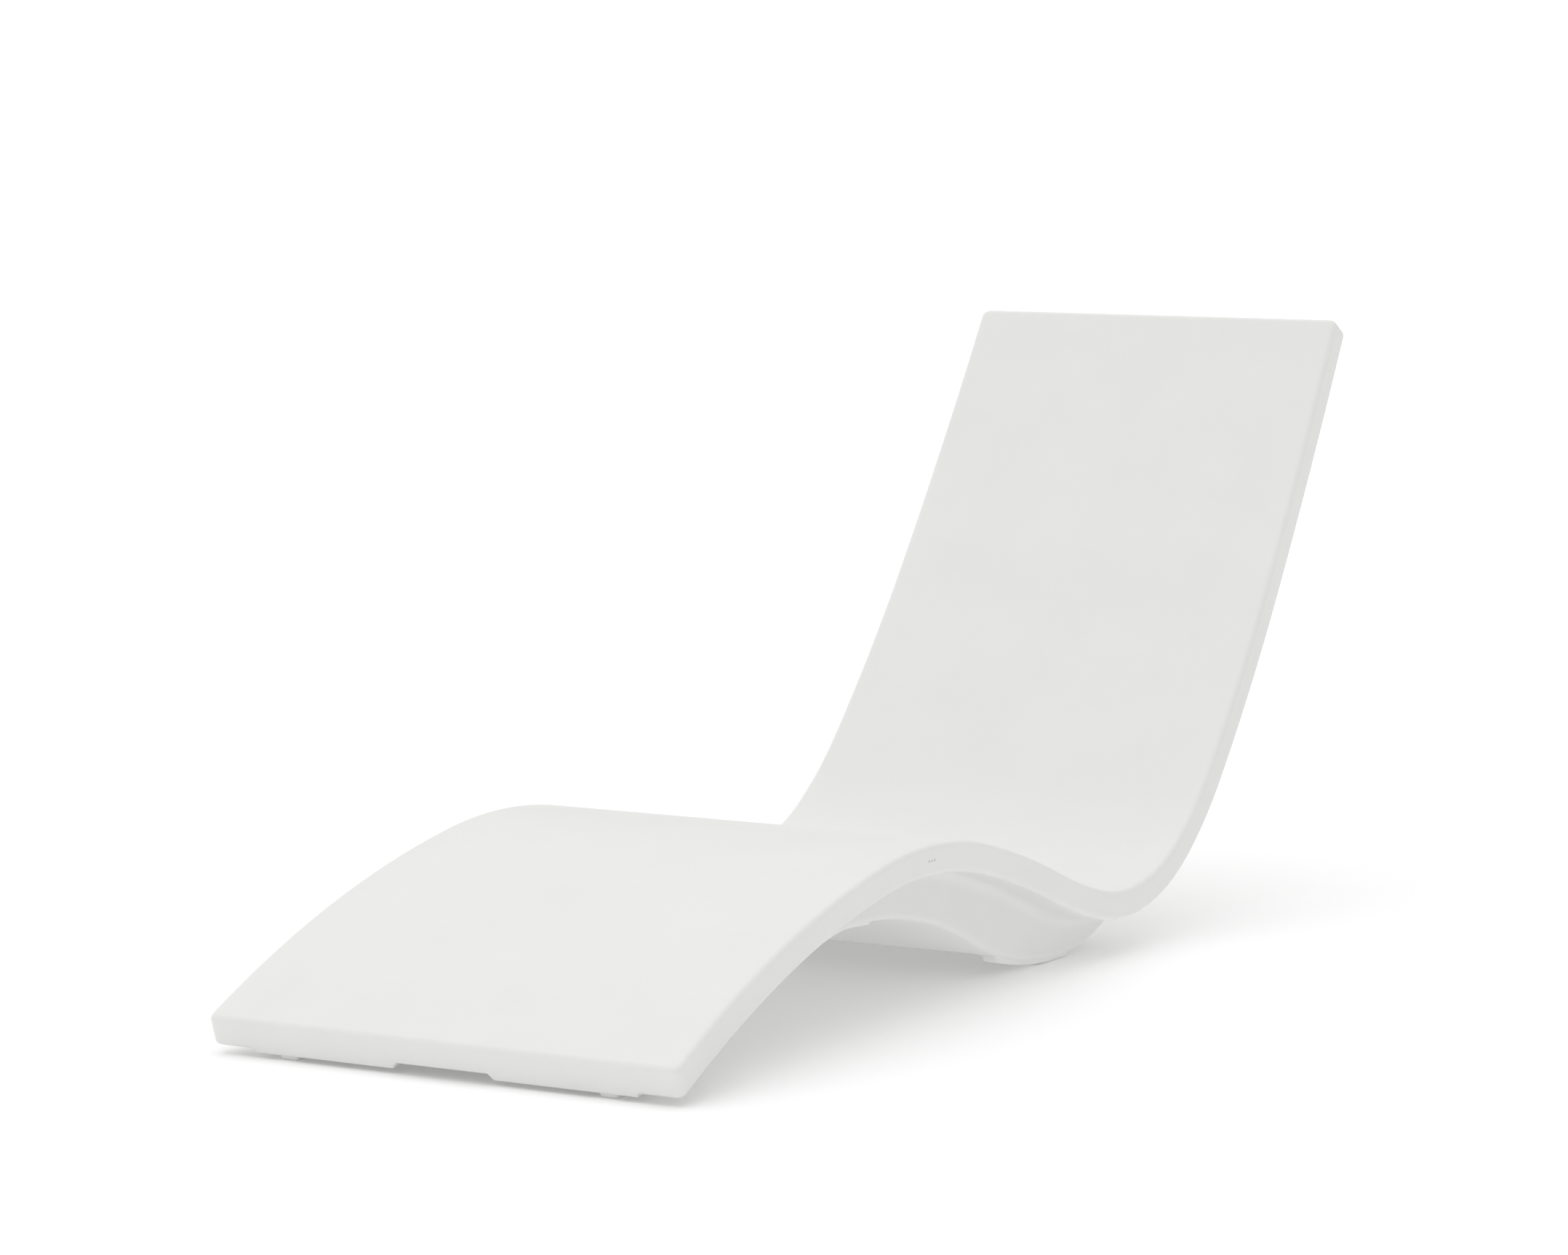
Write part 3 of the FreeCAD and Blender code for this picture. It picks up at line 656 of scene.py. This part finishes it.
def makeSkid(name, shape, side):
    # a low rail with eased flanks, rounded nose and a square far end
    start, end = footY + shape["start"], footY + shape["end"]
    half, nose = shape["width"] / 2, shape["nose"]
    count = round((end - start) / 0.006)
    places = {start + nose * (1 - math.cos(math.radians(a))) for a in (0, 15, 30, 45, 60, 75, 90)}
    places |= {end, end - 0.0005, end - 0.0015, end - 0.003}
    places |= {start + nose + (end - 0.004 - start - nose) * i / count for i in range(1, count + 1)}
    across = [-1 + 2 * i / 28 for i in range(29)]
    bm = bmesh.new()
    rings = []
    for y in sorted(places):
        z, slope = keelHeight(y)
        drop = skids["proud"] / math.cos(slope)
        if shape["padLength"] > 0:
            pastPad = max(0.0, y - start - shape["padLength"])
            drop = max(drop, z - pastPad * math.tan(math.radians(skids["padSlope"])))
        drop = min(drop, z)
        into = min(1.0, (y - start) / nose)
        ease = math.sqrt(max(0.0, 1 - (1 - into) ** 2)) if y - start < nose else 1.0
        ease *= 1 - 0.3 * (1 - min(1.0, (end - y) / 0.002)) ** 2
        ring = [bm.verts.new((side * (shape["offset"] + half * u), y, z + skids["seat"])) for u in (-1, 1)]
        for u in reversed(across):
            flank = 1 - fade(abs(u), shape["flat"], 1.0)
            narrow = 0.55 + 0.45 * ease
            x = side * (shape["offset"] + half * u * narrow)
            ring.append(bm.verts.new((x, y, z - drop * flank * ease)))
        rings.append(ring)
    for ring, after in zip(rings, rings[1:]):
        for i in range(len(ring)):
            j = (i + 1) % len(ring)
            bm.faces.new((ring[i], ring[j], after[j], after[i]))
    bm.faces.new(rings[0])
    bm.faces.new(rings[-1])
    return newObject(name, finishMesh(bm, name, 50.0))


for end in ("front", "rear"):
    for hand, side in (("left", -1), ("right", 1)):
        node = end + "_" + hand + "_skid"
        made = makeSkid(node + "_rail", skids[end], side)
        made.data.materials.append(materials["skid"])
        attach(made, "body")
        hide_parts(node)
print("skids made")


plug = {
    "headRadius": 0.030,
    "headLow": -0.0078,
    "headHigh": -0.0008,
    "edge": 0.0014,
    "flutes": 24,
    "fluteDepth": 0.0007,
    "dishRadius": 0.0238,
    "dishDepth": 0.004,
    "barWidth": 0.008,
    "threadCrest": 0.0167,
    "threadRoot": 0.0157,
    "pitch": 0.004,
    "shankLow": -0.0238,
    "coreRadius": 0.0127,
    "around": 144,
}


def threadRadius(angle, height, high, low):
    # the thread is a radius that follows the turn and the height, and runs out at both ends
    crest, root = plug["threadCrest"], plug["threadRoot"]
    phase = (height / plug["pitch"] - angle / (2 * math.pi)) % 1.0
    tooth = min(1.0, max(0.0, 1.6 * abs(2 * phase - 1) - 0.3))
    runOut = fade(height, low, low + 0.0022) * (1 - fade(height, high - 0.0025, high - 0.0008))
    return root + (crest - root) * tooth * runOut


def makePlug(name, station):
    rim, edge = plug["headRadius"], plug["edge"]
    root, head = plug["threadRoot"], plug["headLow"]
    profile = [(0, plug["headHigh"])]
    profile += [(rim * f, plug["headHigh"]) for f in (0.4, 0.75, 0.86, 0.93)]
    for i in range(6):
        a = math.pi / 2 * i / 5
        profile.append((rim - edge * (1 - math.sin(a)), plug["headHigh"] - edge * (1 - math.cos(a))))
    profile.append((rim, (plug["headHigh"] + plug["headLow"]) / 2))
    for i in range(4):
        a = math.pi / 2 * i / 3
        profile.append((rim - 0.0006 * (1 - math.cos(a)), plug["headLow"] + 0.0006 * (1 - math.sin(a))))
    profile += [(0.024, head), (root + 0.0006, head), (root, head - 0.0006)]
    threadStart = len(profile)
    rows = 52
    high, low = plug["headLow"] - 0.0006, plug["shankLow"] + 0.0008
    profile += [(plug["threadRoot"], high + (low - high) * i / rows) for i in range(1, rows + 1)]
    threadEnd = len(profile)
    core, tip = plug["coreRadius"], plug["shankLow"]
    profile += [(root - 0.0008, tip), (core + 0.0006, tip), (core, tip + 0.0006)]
    profile += [(core, head - 0.001), (core - 0.001, head), (0, head)]

    def wobble(k, angle, radius, height):
        if threadStart <= k < threadEnd:
            return threadRadius(angle, height, high, low)
        if radius > rim - edge * 0.9 and height < plug["headHigh"] - edge * 0.15:
            return radius - plug["fluteDepth"] * max(0.0, math.cos(angle * plug["flutes"])) ** 3
        return radius

    bm = bmesh.new()
    matrix = portMatrix(station)
    turned(bm, profile, plug["around"], matrix, wobble)
    bmesh.ops.recalc_face_normals(bm, faces=bm.faces)
    mesh = bpy.data.meshes.new(name)
    bm.to_mesh(mesh)
    bm.free()
    made = newObject(name, mesh)

    # two D-shaped finger pockets leave the grip bar between them
    bm = bmesh.new()
    for side in (-1, 1):
        radius, bar, ease = plug["dishRadius"], plug["barWidth"] / 2, 0.0016
        start = math.asin((bar + ease) / (radius - ease))
        outline = []
        for i in range(33):
            a = start + (math.pi - 2 * start) * i / 32
            outline.append((radius * math.cos(a), max(bar + ease * 0.3, radius * math.sin(a))))
        outline = [(outline[0][0] - 0.0012, bar)] + outline + [(outline[-1][0] + 0.0012, bar)]
        lowZ, highZ = plug["headHigh"] - plug["dishDepth"], plug["headHigh"] + 0.002
        face = plug["headHigh"]
        levels = [(lowZ, 0.0012), (lowZ + 0.0004, 0.0004), (lowZ + 0.0012, 0.0)]
        levels += [(face - 0.0006, 0.0), (face, -0.0005), (highZ, -0.0024)]      # (height, inset)
        rings = []
        middle = Vector((0, radius * 0.55, 0))
        for level, inset in levels:
            ring = []
            for x, y in outline:
                inward = (middle - Vector((x, y, 0))).normalized() * inset
                ring.append(bm.verts.new(matrix @ Vector((x + inward.x, side * (y + inward.y), level))))
            rings.append(ring)
        for ring, after in zip(rings, rings[1:]):
            for i in range(len(ring)):
                j = (i + 1) % len(ring)
                bm.faces.new((ring[i], ring[j], after[j], after[i]))
        bm.faces.new(rings[0])
        bm.faces.new(rings[-1])
    bmesh.ops.recalc_face_normals(bm, faces=bm.faces)
    mesh = bpy.data.meshes.new("pockets")
    bm.to_mesh(mesh)
    bm.free()
    cutAway(made, newObject("pockets", mesh))
    bm = bmesh.new()
    bm.from_mesh(made.data)
    made.data = finishMesh(bm, name, 35.0)
    return made


for name, station in ports.items():
    made = makePlug(name + "_screw_plug", station)
    made.data.materials.append(materials["plug"])
    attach(made, name + "_plug")
    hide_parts(name + "_plug")
print("plugs made")


# bushings and rings stay as the frame has them
for row in frame["record"]["subparts"]:
    node = frame["nodes"][row["node"]]
    if node.hide_render:
        continue
    node.data.materials.clear()
    node.data.materials.append(materials[row["material_slot"]])

makeCamera()
makeStage()
makeLight()
scene.view_settings.view_transform = "Standard"
print("stage made")
